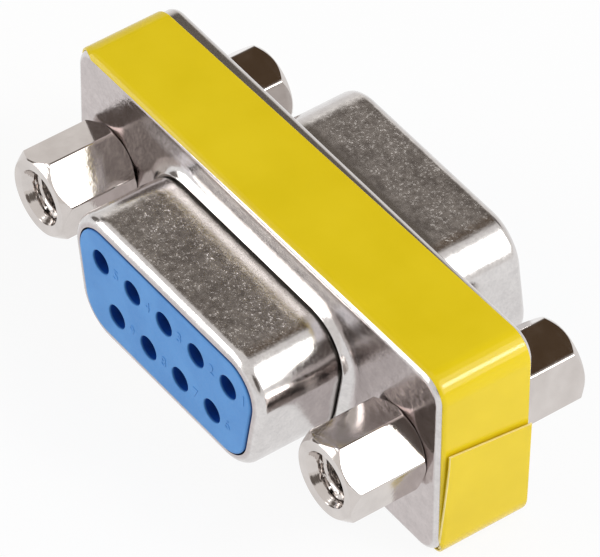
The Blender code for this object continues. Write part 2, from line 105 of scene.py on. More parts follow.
# Insulators
FACE_PROUD = 0.1
FACE_DEPTH = RIM_DEPTH + FACE_PROUD
FLANGE_OFFSET = 1.52
FLANGE_SEAT = PLATE_DEPTH - SHEET - FIT_GAP
NOSE_GAP = 0.09
NOSE_OFFSET = -RIM_RADIUS - RIM_LIP - NOSE_GAP
NOSE_ROUNDING = 0.12
JOINT_HALF_GAP = 0.02
ENTRY_RADIUS = 0.7
ENTRY_ROUNDING = 0.06
ENTRY_WALL = 0.8
ENTRY_OVERCUT = 0.5
BORE_RADIUS = 0.85
BORE_END = 2.525
SLOT_HALF_WIDTH = 0.2
SLOT_HALF_HEIGHT = 1.97
DIGIT_SIZE = 0.95
DIGIT_OFFSET = (1.36, 0.12)
DIGIT_PROUD = 0.028
DIGIT_SINK = 0.01
DIGIT_BEVEL = 0.012

# Jack sockets
JACK_X = 12.493
HEX_HALF_FLATS = 2.25
HEX_CORNER_ROUNDING = 0.14
HEX_MOUTH_RADIUS = 2.19
HEX_MOUTH_ANGLE = 50.0
HEX_SEAT_ANGLE = 40.0
HEX_SEAT_RUN = 0.02
HEX_SEAT_INSET = 0.03
HEX_EDGE_ROUNDING = 0.05
HEX_SEAT = PLATE_DEPTH + FIT_GAP
SCREW_LENGTH = 4.7
SCREW_MOUTH = HEX_SEAT + SCREW_LENGTH
NUT_LENGTH = 4.1
NUT_MOUTH = HEX_SEAT + NUT_LENGTH
THREAD_PITCH = 0.635
THREAD_MAJOR_RADIUS = 1.42
THREAD_MINOR_RADIUS = 1.09
THREAD_HALF_ROOT = 0.08
THREAD_FLANK = 0.30
COUNTERSINK_RADIUS = 1.634
COUNTERSINK_ANGLE = 32.0
SCREW_BORE_DEPTH = 4.0
BORE_TIP_RADIUS = 0.12
BORE_TIP_ANGLE = 60.0
STUD_END_RADIUS = 1.18
STUD_REACH = 2.2
STUD_END = -PLATE_DEPTH - STUD_REACH
SCREW_TURN = {"left": 50.0, "right": 46.0}
NUT_TURN = {"left": 75.0, "right": 76.0}

# Rounded tip of a stud: how much narrower it is, and how far from the end
STUD_TIP = ((0.3, 0.0), (0.22, 0.03), (0.0, 0.25))

# Angles in degrees of points across half a facet, and the most of a line that a rounding takes up
FACET_ANGLES = (0, 6, 12, 18, 24)
ROUNDING_LIMIT = 0.45

# Label
LABEL_THICKNESS = 0.12
LABEL_GLUE_GAP = 0.02
LABEL_FRONT_MARGIN = {"left": -0.08, "right": 0.2}
LABEL_REAR_MARGIN = {"left": 0.95, "right": 0.35}
LABEL_SEAM_HEIGHT = 1.05
LABEL_SEAM_SLOPE = 0.13
LABEL_END_SETBACK = 0.25
LABEL_END_LIFT = 0.12
LABEL_COVERED_END = 315.0
LABEL_RISE_START = 276.0
LABEL_RISE_END = 308.0
LABEL_LEFT_END_SETBACK = 0.5
LABEL_UNDER_SETBACK = 0.35
LABEL_EDGE_ROUNDING = 0.045
LABEL_EDGE_RUN = 0.6

# Fineness
CORNER_STEPS = 24
FILLET_STEPS = 16
BEND_STEPS = 10
WALL_STEPS = 12
NECK_STEPS = 8
ROUND_STEPS = 48
HOLE_STEPS = 32
NOSE_STEPS = 5
ENTRY_STEPS = 4
THREAD_STEPS = 12
HEX_EDGE_STEPS = 4
LABEL_EDGE_STEPS = 10
LABEL_ROUNDING_STEPS = 4
LABEL_RUN_STEPS = 24
LABEL_LAP_STEPS = 12

# Angles in degrees above which an edge stays sharp
SHARP_ANGLE = 35.0
HEX_SHARP_ANGLE = 30.0
LABEL_SHARP_ANGLE = 50.0

SIDES = {"left": -1, "right": 1}

# Looks. A noise is its scale in spots per metre, its detail and its roughness. A start, end, top or
# bottom of a zone is its edge and where the zone is full, in millimetres. A bump is a height in
# millimetres. Tints are the darker and the lighter one, in linear red, green and blue.
WHITE = (1.0, 1.0, 1.0)
NOISE_LOW = 0.3
NOISE_HIGH = 0.7
GRAIN_NOISE = (6500.0, 3.0, 0.6)
GRAIN_BUMP = 0.003

# Plated steel
STEEL_TINTS = ((0.62, 0.595, 0.59), (0.72, 0.695, 0.685))
# Plate faces, painted darker as painted shade: the shadowed floor that they mirror
PLATE_SHADE_TINTS = ((0.50, 0.450, 0.445), (0.59, 0.535, 0.53))
# A painted reflection: lighter tints for the strip beside the wide side of the shroud
PAINTED_SHEEN_TINTS = ((0.84, 0.82, 0.87), (0.98, 0.965, 1.0))
DRAWN_TINTS = ((0.51, 0.475, 0.45), (0.97, 0.93, 0.895))
NECK_TINT = (0.53, 0.495, 0.455)
# Painted shade: the groove at the shroud's root is painted dark
GROOVE_SHADE_TINT = (0.13, 0.12, 0.11)
PATCH_NOISE = (1300.0, 3.0, 0.6)
BLOTCH_NOISE = (2600.0, 5.0, 0.65)
CLOUD_NOISE = (600.0, 3.0, 0.6)
# A noise that makes ragged the edges of the painted groove shade and of the drawn and pitted zones
RAGGED_NOISE = (1100.0, 3.0, 0.6)
SPECK_NOISE = (8000.0, 2.0, 0.5)
WAVER_NOISE = (260.0, 2.0, 0.5)
PATCH_SHARE = 0.55
BLOTCH_SHARE = 0.60
MOTTLE_RANGE = (0.38, 0.62)
BLOTCH_RANGE = (0.40, 0.60)
SPECK_RANGE = (0.60, 0.68)
PIT_SHARES = (0.10, 0.85)
PLATE_FACES = (0.80, 0.98)
LEVEL_FACES = (0.90, 0.99)
# Rows and ends of the strip with the painted reflection
STRIP_BOTTOM = (4.3, 4.8)
STRIP_TOP = (5.70, 5.45)
STRIP_ENDS = (10.0, 8.0)
# Where the painted shade in the groove starts and ends
GROOVE_SHADE_START = (GROOVE_START - 0.01, GROOVE_START + 0.01)
GROOVE_SHADE_END = (GROOVE_END - 0.04, GROOVE_END - 0.16)
DRAWN_START = (GROOVE_END + 0.70, GROOVE_END + 0.95)
PIT_START = (GROOVE_END + 1.00, GROOVE_END + 1.40)
# How far in millimetres the ragged noise shifts those edges
RAGGED_REACH = 0.30
STEEL_ROUGHNESS = (0.12, 0.20)
LEVEL_ROUGHNESS = 0.09
PLATE_RELIEF = 1.6
WAVER_BUMP = 0.04
BLOTCH_BUMP = 0.010
PIT_BUMP = 0.010

# Plated brass. The turning marks fade out between two distances from the mouth, down to a share.
BRASS_TINTS = ((0.59, 0.545, 0.52), (0.68, 0.635, 0.61))
SMUDGE_NOISE = (700.0, 3.0, 0.5)
RING_NOISE = (11000.0, 1.0, 0.5)
TURNED_ZONE = (0.52, 0.40)
FACET_MARKS = 0.12
BRASS_ROUGHNESS = (0.08, 0.14)
SMUDGE_BUMP = 0.012
RING_BUMP = 0.012

# Blue plastic
PLASTIC_TINTS = ((0.085, 0.270, 0.62), (0.110, 0.320, 0.685))
# Painted shade: the walls of the holes are painted a dark navy
HOLE_SHADE_NAVY = (0.002, 0.05, 0.30)
PLASTIC_NOISE = (500.0, 3.0, 0.5)
SKIN_NOISE = (9000.0, 2.0, 0.5)
HOLE_SHADE_START = (FACE_DEPTH - 0.03, FACE_DEPTH - 0.16)
PLASTIC_ROUGHNESS = (0.38, 0.52)
PLASTIC_GLOSS = 0.25
SKIN_BUMP = 0.002

# Vinyl, and its pale core, which also serves as a painted highlight on the cut edges
VINYL_TINTS = ((0.74, 0.55, 0.008), (0.80, 0.60, 0.014))
VINYL_NOISE = (220.0, 3.0, 0.5)
PEEL_NOISE = (1500.0, 2.0, 0.5)
VINYL_ROUGHNESS = (0.09, 0.14)
VINYL_GLOSS = 0.3
PEEL_BUMP = 0.0006
# Pale core tints, which also paint a highlight on the cut edges
CORE_AND_HIGHLIGHT_TINTS = ((0.855, 0.711, 0.27), (0.95, 0.79, 0.30))
CORE_NOISE = (900.0, 3.0, 0.5)
CORE_ROUGHNESS = 0.5

# Gold flash
GOLD_TINTS = ((0.70, 0.50, 0.18), (0.83, 0.64, 0.30))
GOLD_NOISE = (1600.0, 3.0, 0.5)
GOLD_ROUGHNESS = (0.18, 0.34)

# Zones of the mirrored room: a direction, and the dot products with it at the edge and in full
CEILING = ((0.0, 0.0, 1.0), 0.44, 0.54)
LEFT_REAR = ((-1.0, 0.8, 0.0), 0.50, 0.62)
CAMERA_GAP = ((0.745, -0.475, 0.468), 0.940, 0.955)
LEFT_GAP = ((-0.89, -0.42, 0.17), 0.945, 0.965)
TOP_PANEL = ((-0.173, 0.424, 0.888), 0.970, 0.990)
ROOM_SHADE = (0.86, 0.84, 0.82)
DIM_SHADE = (0.154, 0.135, 0.121)
PANEL_SHADE = (0.09, 0.058, 0.033)

# Strength of the soft light from all round
SOFT_LIGHT = 0.45

# Lamps: direction, then distance, width and height in metres, then radiance, where 1 is white
SOFTBOXES = {
    "right_softbox": ((0.684, 0.424, 0.594), 0.5, 0.40, 0.40, 2.75),
    "right_core": ((0.684, 0.424, 0.594), 0.48, 0.09, 0.09, 14.0),
    "left_softbox": ((-0.52, -0.77, 0.35), 0.5, 0.36, 0.34, 3.0),
}

# Floor: half its size in metres, its gap below the part in millimetres, and how much of it glows
FLOOR_HALF_SIZE = 1.5
FLOOR_GAP = 0.02
FLOOR_SHADE = (0.9, 0.9, 0.9)
FLOOR_GLOW = 0.90

# Camera: place, sensor width and lens in millimetres, turn in degrees, nearest view in metres
CAMERA_PLACE = (207.858, -154.381, 256.117)
CAMERA_TURN = (45.276, -0.324, 53.723)
CAMERA_SENSOR = 36.0
CAMERA_LENS = 425.56
CAMERA_CLIP_START = 0.01


# Shape helpers

def arc(start, end, steps):
    """Angles in radians from start to end, given in degrees."""
    return [radians(start + (end - start) * step / steps) for step in range(steps + 1)]


def bridge(bm, loops, closed=False):
    """Join a list of equal vertex loops with quads, and join the last to the first if closed."""
    pairs = list(zip(loops, loops[1:]))
    if closed:
        pairs.append((loops[-1], loops[0]))
    for first, second in pairs:
        count = len(first)
        for index in range(count):
            following = (index + 1) % count
            bm.faces.new((first[index], first[following], second[following], second[index]))


def fill_solid(bm, loops):
    """Make one closed solid from a list of equal vertex loops, with a flat cap at each end."""
    bridge(bm, loops)
    bm.faces.new(loops[0])
    bm.faces.new(loops[-1])


def to_mesh(bm, name, sharp=SHARP_ANGLE):
    """Turn a millimetre bmesh into a smooth-shaded mesh in metres."""
    for vert in bm.verts:
        vert.co *= MM
    bmesh.ops.recalc_face_normals(bm, faces=bm.faces)
    mesh = bpy.data.meshes.new(name)
    bm.to_mesh(mesh)
    bm.free()
    mesh.shade_smooth()
    mesh.set_sharp_from_angle(angle=radians(sharp))
    return mesh


def cut(name, mesh, cutters):
    """Cut a mesh with others by exact Booleans and give the result."""
    base = bpy.data.objects.new("cut_base", mesh)
    bpy.context.scene.collection.objects.link(base)
    helpers = []
    for cutter_mesh in cutters:
        helper = bpy.data.objects.new("cutter", cutter_mesh)
        bpy.context.scene.collection.objects.link(helper)
        boolean = base.modifiers.new("cut", "BOOLEAN")
        boolean.operation = "DIFFERENCE"
        boolean.solver = "EXACT"
        boolean.object = helper
        helpers.append(helper)
    depsgraph = bpy.context.evaluated_depsgraph_get()
    result = bpy.data.meshes.new_from_object(base.evaluated_get(depsgraph))
    result.name = name
    for used in [base, *helpers]:
        bpy.data.objects.remove(used, do_unlink=True)
    result.materials.clear()
    result.shade_smooth()
    result.set_sharp_from_angle(angle=radians(SHARP_ANGLE))
    return result


def add_piece(name, mesh, replaced, location=(0, 0, 0), rotation=(0, 0, 0)):
    """Put a finished piece in the scene, riding on the one body."""
    piece = bpy.data.objects.new(name, mesh)
    piece.location = [value * MM for value in location]
    piece.rotation_euler = rotation
    bpy.context.scene.collection.objects.link(piece)
    weighted = piece.modifiers.new("even shading", "WEIGHTED_NORMAL")
    weighted.keep_sharp = True
    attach(piece, "root")
    if replaced:
        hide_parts(replaced)


class Outline:
    """A rounded four-cornered outline in the XZ plane, which can be offset outward."""

    def __init__(self, corners, radius):
        self.corners = corners
        self.radius = radius

    def points(self, offset=0.0):
        result = []
        reach = self.radius + offset
        for centre_x, centre_z, start, end in self.corners:
            for angle in arc(start, end, CORNER_STEPS):
                result.append((centre_x + reach * cos(angle), centre_z + reach * sin(angle)))
        return result


def plate_outline():
    x = PLATE_WIDTH / 2 - PLATE_CORNER_RADIUS
    z = PLATE_HEIGHT / 2 - PLATE_CORNER_RADIUS
    corners = [(x, z, 0, 90), (-x, z, 90, 180), (-x, -z, 180, 270), (x, -z, 270, 360)]
    return Outline(corners, PLATE_CORNER_RADIUS)


def shroud_outline():
    lean = SHROUD_SIDE_ANGLE
    z = SHROUD_HEIGHT / 2 - SHROUD_CORNER_RADIUS
    top_x = SHROUD_WIDTH / 2 - SHROUD_CORNER_RADIUS
    bottom_x = top_x - 2 * z * tan(radians(lean))
    corners = [
        (top_x, z, -lean, 90),
        (-top_x, z, 90, 180 + lean),
        (-bottom_x, -z, 180 + lean, 270),
        (bottom_x, -z, 270, 360 - lean),
    ]
    return Outline(corners, SHROUD_CORNER_RADIUS)


PLATE = plate_outline()
SHROUD = shroud_outline()


def outline_loop(bm, outline, offset, depth):
    """One loop of vertices round an outline, at a depth in front of the mid-plane."""
    return [bm.verts.new((x, -depth, z)) for x, z in outline.points(offset)]


def ring_loop(bm, radius, depth, steps, x=0.0, z=0.0):
    """One loop of vertices round an axis along Y."""
    loop = []
    for step in range(steps):
        angle = 2 * pi * step / steps
        loop.append(bm.verts.new((x + radius * cos(angle), -depth, z + radius * sin(angle))))
    return loop


# Pans

def root_profile():
    """Outside of the shroud's root as (offset, depth from the plate).

    It is a fillet, a narrow groove and a slight neck that rises to the straight wall.
    """
    last = radians(90 - ROOT_ARC_END)
    neck_rise = NECK_LENGTH * tan(radians(NECK_SLOPE)) / 2
    lift = ROOT_LIP - ROOT_RADIUS * (1 - sin(last))
    points = []
    for angle in arc(0, 90 - ROOT_ARC_END, FILLET_STEPS):
        points.append((lift + ROOT_RADIUS * (1 - sin(angle)), ROOT_RADIUS * (1 - cos(angle))))
    start = points[-1][1]
    points.append((ROOT_LIP - ROOT_LIP_FALL, start + ROOT_LIP_RUN))
    points.append((-GROOVE_DEPTH, start + ROOT_LIP_RUN + GROOVE_WALL_RUN))
    points.append((-GROOVE_DEPTH, start + GROOVE_WIDTH - GROOVE_WALL_RUN))
    wall = start + GROOVE_WIDTH
    for step in range(NECK_STEPS + 1):
        share = step / NECK_STEPS
        points.append((neck_rise * (share * (2 - share) - 1), wall + NECK_LENGTH * share))
    return points


def shell_section():
    """The section of a pan, from its free edge over the outside to the rim and back inside."""
    section = [(PLATE, 0.0, PAN_SEAM_GAP / 2)]
    for angle in arc(0, 90, BEND_STEPS):
        inset = BEND_RADIUS * (1 - cos(angle))
        section.append((PLATE, -inset, PLATE_DEPTH - BEND_RADIUS + BEND_RADIUS * sin(angle)))
    root_depth = PLATE_DEPTH + ROOT_RADIUS
    section.extend((SHROUD, offset, PLATE_DEPTH + depth) for offset, depth in root_profile())
    rim_centre = RIM_DEPTH - RIM_RADIUS
    wall_start = section[-1][2]
    for step in range(1, WALL_STEPS):
        section.append((SHROUD, 0.0, wall_start + (rim_centre - wall_start) * step / WALL_STEPS))
    for angle in arc(0, 90, BEND_STEPS):
        offset = RIM_RADIUS * (cos(angle) - 1)
        section.append((SHROUD, offset, rim_centre + RIM_RADIUS * sin(angle)))
    section.append((SHROUD, -RIM_RADIUS - RIM_LIP, RIM_DEPTH))
    section.append((SHROUD, -RIM_RADIUS - RIM_LIP, RIM_DEPTH - SHEET))
    for angle in arc(90, 0, BEND_STEPS):
        offset = RIM_INNER_RADIUS * cos(angle) - RIM_RADIUS
        section.append((SHROUD, offset, rim_centre + RIM_INNER_RADIUS * sin(angle)))
    inner_root = ROOT_RADIUS + SHEET
    for angle in arc(90, 0, FILLET_STEPS):
        offset = ROOT_RADIUS - inner_root * sin(angle)
        section.append((SHROUD, offset, root_depth - inner_root * cos(angle)))
    for angle in arc(90, 0, BEND_STEPS):
        inset = BEND_RADIUS - BEND_INNER_RADIUS * cos(angle)
        depth = PLATE_DEPTH - BEND_RADIUS + BEND_INNER_RADIUS * sin(angle)
        section.append((PLATE, -inset, depth))
    section.append((PLATE, -SHEET, PAN_SEAM_GAP / 2))
    return section


def shell_mesh():
    """One drawn pan with its two stud holes, facing forward."""
    bm = bmesh.new()
    loops = [outline_loop(bm, *station) for station in shell_section()]
    bridge(bm, loops, closed=True)
    pan = to_mesh(bm, "pan_blank")
    holes = bmesh.new()
    for sign in SIDES.values():
        x = sign * JACK_X
        ends = [ring_loop(holes, STUD_HOLE_RADIUS, depth, ROUND_STEPS, x) for depth in STUD_HOLE_ENDS]
        fill_solid(holes, ends)
    return cut("pan", pan, [to_mesh(holes, "stud_holes")])


def build_pans(material):
    pan = shell_mesh()
    pan.materials.append(material)
    for side, turn in (("front", 0.0), ("rear", pi)):
        add_piece(f"{side}_pan", pan, f"{side}_shell", rotation=(turn, 0, 0))


# Insulators

def pin_places():
    """Number, x and front height of each contact, numbered from the right of the long row."""
    places = []
    for row, count in ((1, LONG_ROW_PINS), (-1, LONG_ROW_PINS - 1)):
        for index in range(count):
            places.append((len(places) + 1, ((count - 1) / 2 - index) * PIN_PITCH, row * ROW_Z))
    return places


def block_mesh():
    """One insulator block with rounded hole mouths, facing forward."""
    bm = bmesh.new()
    section = [(FLANGE_OFFSET, JOINT_HALF_GAP), (FLANGE_OFFSET, FLANGE_SEAT), (NOSE_OFFSET, FLANGE_SEAT)]
    for angle in arc(0, 90, NOSE_STEPS):
        offset = NOSE_OFFSET - NOSE_ROUNDING * (1 - cos(angle))
        section.append((offset, FACE_DEPTH - NOSE_ROUNDING * (1 - sin(angle))))
    fill_solid(bm, [outline_loop(bm, SHROUD, offset, depth) for offset, depth in section])
    block = to_mesh(bm, "block_blank")
    profile = [(BORE_RADIUS, BORE_END), (BORE_RADIUS, FACE_DEPTH - ENTRY_WALL)]
    for angle in arc(0, 90, ENTRY_STEPS):
        radius = ENTRY_RADIUS + ENTRY_ROUNDING * (1 - cos(angle))
        profile.append((radius, FACE_DEPTH - ENTRY_ROUNDING * (1 - sin(angle))))
    profile.insert(2, (ENTRY_RADIUS, FACE_DEPTH - ENTRY_WALL))
    profile.append((ENTRY_RADIUS + ENTRY_ROUNDING, FACE_DEPTH + ENTRY_OVERCUT))
    channels = bmesh.new()
    slots = bmesh.new()
    for _, x, z in pin_places():
        rings = [ring_loop(channels, radius, depth, HOLE_STEPS, x, z) for radius, depth in profile]
        fill_solid(channels, rings)
        box = bmesh.ops.create_cube(slots, size=2.0)
        for vert in box["verts"]:
            vert.co.x = x + vert.co.x * SLOT_HALF_WIDTH
            vert.co.y *= BORE_END
            vert.co.z *= SLOT_HALF_HEIGHT
    return cut("block", block, [to_mesh(channels, "channels"), to_mesh(slots, "slots")])


def digits_mesh():
    """The moulded contact numbers of one face, as one raised mesh."""
    bm = bmesh.new()
    for number, x, z in pin_places():
        text = bpy.data.curves.new("digit", "FONT")
        text.body = str(number)
        text.size = DIGIT_SIZE * MM
        text.align_x = "CENTER"
        text.align_y = "CENTER"
        text.extrude = DIGIT_PROUD * MM
        text.bevel_depth = DIGIT_BEVEL * MM
        text.bevel_resolution = 2
        text.offset = -DIGIT_BEVEL * MM
        holder = bpy.data.objects.new("digit", text)
        bpy.context.scene.collection.objects.link(holder)
        place = (x + DIGIT_OFFSET[0], -(FACE_DEPTH - DIGIT_SINK), z + DIGIT_OFFSET[1])
        holder.location = [value * MM for value in place]
        holder.rotation_euler = (pi / 2, 0, 0)
        bpy.context.view_layer.update()
        depsgraph = bpy.context.evaluated_depsgraph_get()
        mesh = bpy.data.meshes.new_from_object(holder.evaluated_get(depsgraph))
        mesh.transform(holder.matrix_world)
        bm.from_mesh(mesh)
        bpy.data.objects.remove(holder, do_unlink=True)
        bpy.data.meshes.remove(mesh)
        bpy.data.curves.remove(text)
    result = bpy.data.meshes.new("digits")
    bm.to_mesh(result)
    bm.free()
    result.shade_smooth()
    result.set_sharp_from_angle(angle=radians(SHARP_ANGLE))
    return result


def build_blocks(material):
    block = block_mesh()
    digits = digits_mesh()
    for mesh in (block, digits):
        mesh.materials.append(material)
    for side, turn in (("front", 0.0), ("rear", pi)):
        rotation = (turn, 0, 0)
        add_piece(f"{side}_block", block, f"{side}_insulator", rotation=rotation)
        add_piece(f"{side}_pin_numbers", digits, None, rotation=rotation)


# Jack sockets

def hex_angles():
    """Angles round a hexagonal bar in degrees, closer together at its rounded corners."""
    inner = HEX_HALF_FLATS - HEX_CORNER_ROUNDING
    tangent = atan(inner / HEX_HALF_FLATS * tan(pi / 6)) * 180 / pi
    half = [*FACET_ANGLES, tangent, (tangent + 30) / 2]
    sector = [-angle for angle in reversed(half[1:])] + half + [30]
    return [60 * facet + angle for facet in range(6) for angle in sector]


def hex_radius(degrees):
    """Distance from the axis to the surface of a hexagonal bar with rounded corners."""
    angle = radians(abs((degrees + 30) % 60 - 30))
    inner = HEX_HALF_FLATS - HEX_CORNER_ROUNDING
    if HEX_HALF_FLATS * tan(angle) <= inner * tan(pi / 6) + 1e-6:
        return HEX_HALF_FLATS / cos(angle)
    centre = inner / cos(pi / 6)
    swing = pi / 6 - angle
    return centre * cos(swing) + sqrt(HEX_CORNER_ROUNDING ** 2 - (centre * sin(swing)) ** 2)


def rounded(before, corner, after, radius):
    """Points of a rounded corner between two straight lines, as (radius, depth) pairs."""
    here = Vector(corner)
    first = (Vector(before) - here).normalized()
    second = (Vector(after) - here).normalized()
    half = first.angle(second) / 2
    lines = [(Vector(end) - here).length for end in (before, after)]
    reach = min(radius / tan(half), ROUNDING_LIMIT * min(lines))
    start = here + first * reach
    end = here + second * reach
    points = []
    for step in range(HEX_EDGE_STEPS + 1):
        share = step / HEX_EDGE_STEPS
        points.append(tuple(start.lerp(here, share).lerp(here.lerp(end, share), share)))
    return points


def hex_column(degrees, mouth):
    """Profile of a jack socket's outside in one direction, from its seat to its mouth."""
    reach = hex_radius(degrees)
    seat_run = (reach - HEX_HALF_FLATS) * tan(radians(HEX_SEAT_ANGLE)) + HEX_SEAT_RUN
    mouth_run = (reach - HEX_MOUTH_RADIUS) * tan(radians(HEX_MOUTH_ANGLE))
    corners = [
        (COUNTERSINK_RADIUS, HEX_SEAT),
        (HEX_HALF_FLATS - HEX_SEAT_INSET, HEX_SEAT),
        (reach, HEX_SEAT + seat_run),
        (reach, mouth - mouth_run),
        (HEX_MOUTH_RADIUS, mouth),
        (COUNTERSINK_RADIUS, mouth),
    ]
    column = [corners[0]]
    for before, corner, after in zip(corners, corners[1:], corners[2:]):
        column.extend(rounded(before, corner, after, HEX_EDGE_ROUNDING))
    return column


def thread_radius(turns):
    """Radius of an internal thread, where turns counts pitches along and round the bore."""
    phase = turns % 1.0
    rise = min(max((abs(phase - 0.5) - THREAD_HALF_ROOT) / THREAD_FLANK, 0.0), 1.0)
    rise = rise * rise * (3 - 2 * rise)
    return THREAD_MAJOR_RADIUS + (THREAD_MINOR_RADIUS - THREAD_MAJOR_RADIUS) * rise


def bore_rows(angles, mouth, far):
    """Rows of radii down a countersunk, threaded bore, each at one depth."""
    rows = []
    count = ceil((mouth - far) / THREAD_PITCH * THREAD_STEPS)
    for index in range(count + 1):
        depth = mouth - (mouth - far) * index / count
        cone = COUNTERSINK_RADIUS - (mouth - depth) * tan(radians(COUNTERSINK_ANGLE))
        row = []
        for degrees in angles:
            thread = thread_radius((mouth - depth) / THREAD_PITCH + degrees / 360)
            row.append(max(cone, thread))
        rows.append((row, depth))
    return rows


def jack_mesh(name, mouth, through):
    """A hexagonal jack socket facing forward. A nut is open right through, a screw has a stud."""
    angles = hex_angles()
    columns = [hex_column(degrees, mouth) for degrees in angles]
    rows = []
    for index in range(len(columns[0])):
        rows.append([(column[index][0], column[index][1]) for column in columns])
    far = HEX_SEAT if through else mouth - SCREW_BORE_DEPTH
    for radii, depth in bore_rows(angles, mouth, far)[1:]:
        rows.append([(radius, depth) for radius in radii])
    if through:
        rows.pop(0)
    else:
        tip = far - (THREAD_MINOR_RADIUS - BORE_TIP_RADIUS) / tan(radians(BORE_TIP_ANGLE))
        rows.append([(BORE_TIP_RADIUS, tip)] * len(angles))
        shank = [(STUD_END_RADIUS - narrower, STUD_END + run) for narrower, run in STUD_TIP]
        shank += [
            (STUD_END_RADIUS, -PLATE_DEPTH + SHEET),
            (THREAD_MAJOR_RADIUS, -PLATE_DEPTH + SHEET),
            (THREAD_MAJOR_RADIUS, HEX_SEAT),
        ]
        rows = [[point] * len(angles) for point in shank] + rows
    bm = bmesh.new()
    loops = []
    for row in rows:
        loop = []
        for degrees, (radius, depth) in zip(angles, row):
            angle = radians(degrees)
            loop.append(bm.verts.new((radius * cos(angle), -depth, radius * sin(angle))))
        loops.append(loop)
    if through:
        bridge(bm, loops, closed=True)
    else:
        fill_solid(bm, loops)
    return to_mesh(bm, name, HEX_SHARP_ANGLE)


def build_jacks():
    kinds = []
    for kind, mouth, through, turns, flip in (
        ("screw", SCREW_MOUTH, False, SCREW_TURN, 0), ("nut", NUT_MOUTH, True, NUT_TURN, pi)
    ):
        mesh = jack_mesh(f"jack_{kind}", mouth, through)
        mesh.materials.append(plated_brass(f"plated_brass_{kind}_look", mouth))
        kinds.append((kind, mesh, turns, flip))
    for side, sign in SIDES.items():
        place = (sign * JACK_X, 0, 0)
        for kind, mesh, turns, flip in kinds:
            rotation = (flip, radians(-turns[side]), 0)
            add_piece(f"hex_{kind}_{side}", mesh, f"jack_{kind}_{side}", place, rotation)


# Label

def label_edges(x, out_x, out_z):
    """How far the label reaches forward and backward from the mid-plane, along the sheet."""
    share = x / PLATE_WIDTH + 0.5
    front = LABEL_FRONT_MARGIN["left"] * (1 - share) + LABEL_FRONT_MARGIN["right"] * share
    front += LABEL_LEFT_END_SETBACK * max(0.0, -out_x) + LABEL_UNDER_SETBACK * max(0.0, -out_z)
    rear = LABEL_REAR_MARGIN["left"] * (1 - share) + LABEL_REAR_MARGIN["right"] * share
    return PLATE_DEPTH - front, PLATE_DEPTH - rear


def on_sheet(reach, height):
    """Offset and depth of a point over a pan, at a reach along the sheet and a height above it."""
    flat = PLATE_DEPTH - BEND_RADIUS
    if reach <= flat:
        return height, reach
    angle = (reach - flat) / BEND_RADIUS
    radius = BEND_RADIUS + height
    return radius * cos(angle) - BEND_RADIUS, flat + radius * sin(angle)


def label_half(inner, reach):
    """Section of one half of the label, from its outer face over its rounded edge to its inner face."""
    outer = inner + LABEL_THICKNESS
    flat = [LABEL_EDGE_RUN * step / LABEL_EDGE_STEPS for step in range(LABEL_EDGE_STEPS, 0, -1)]
    line = [(reach - inset, outer) for inset in flat if inset > LABEL_EDGE_ROUNDING]
    for angle in arc(90, 0, LABEL_ROUNDING_STEPS):
        inset = LABEL_EDGE_ROUNDING * (1 - cos(angle))
        line.append((reach - inset, outer - LABEL_EDGE_ROUNDING * (1 - sin(angle))))
    line.append((reach, inner))
    line.extend((reach - inset, inner) for inset in reversed(flat))
    return [on_sheet(place, height) for place, height in line]


def corner_stations(corner, start, steps, lift_at):
    """Stations round one corner of the plates from an angle on, with a lift for each angle."""
    centre_x, centre_z, _, end = corner
    stations = []
    for angle in arc(start, end, steps):
        out = (cos(angle), sin(angle))
        x = centre_x + PLATE_CORNER_RADIUS * out[0]
        z = centre_z + PLATE_CORNER_RADIUS * out[1]
        stations.append(((x, z), out, lift_at(angle), *label_edges(x, *out)))
    return stations


def run_stations(last, following):
    """Stations between two corners along a long edge of the plates."""
    (last_x, z), out = last[:2]
    next_x = following[0][0]
    stations = []
    for step in range(1, LABEL_RUN_STEPS):
        x = last_x + (next_x - last_x) * step / LABEL_RUN_STEPS
        stations.append(((x, z), out, 0.0, *label_edges(x, *out)))
    return stations


def label_stations():
    """Stations along the label: place on the pans, outward direction, lift and the two reaches.

    The covered end lies in the lower right corner, where the last turn rises over it.
    """
    lift = LABEL_THICKNESS + LABEL_GLUE_GAP

    def flat(angle):
        return 0.0

    def rising(angle):
        share = (angle - radians(LABEL_RISE_START)) / radians(LABEL_RISE_END - LABEL_RISE_START)
        share = min(max(share, 0.0), 1.0)
        return lift * share * share * (3 - 2 * share)

    upper_right, upper_left, lower_left, lower_right = PLATE.corners
    stations = corner_stations(lower_right, LABEL_COVERED_END, LABEL_LAP_STEPS, flat)
    for corner, lift_at in (
        (upper_right, flat), (upper_left, flat), (lower_left, flat), (lower_right, rising)
    ):
        turn = corner_stations(corner, corner[2], CORNER_STEPS, lift_at)
        if abs(turn[0][0][0] - stations[-1][0][0]) > PLATE_CORNER_RADIUS:
            stations.extend(run_stations(stations[-1], turn[0]))
        stations.extend(turn)
    (side_x, low_z), out, _, front, rear = stations[-1]
    for step in range(1, LABEL_LAP_STEPS + 1):
        share = step / LABEL_LAP_STEPS
        z = low_z + (LABEL_SEAM_HEIGHT - low_z) * share
        height = lift + LABEL_END_LIFT * share
        stations.append(((side_x, z), out, height, front - LABEL_END_SETBACK * share, rear))
    return stations


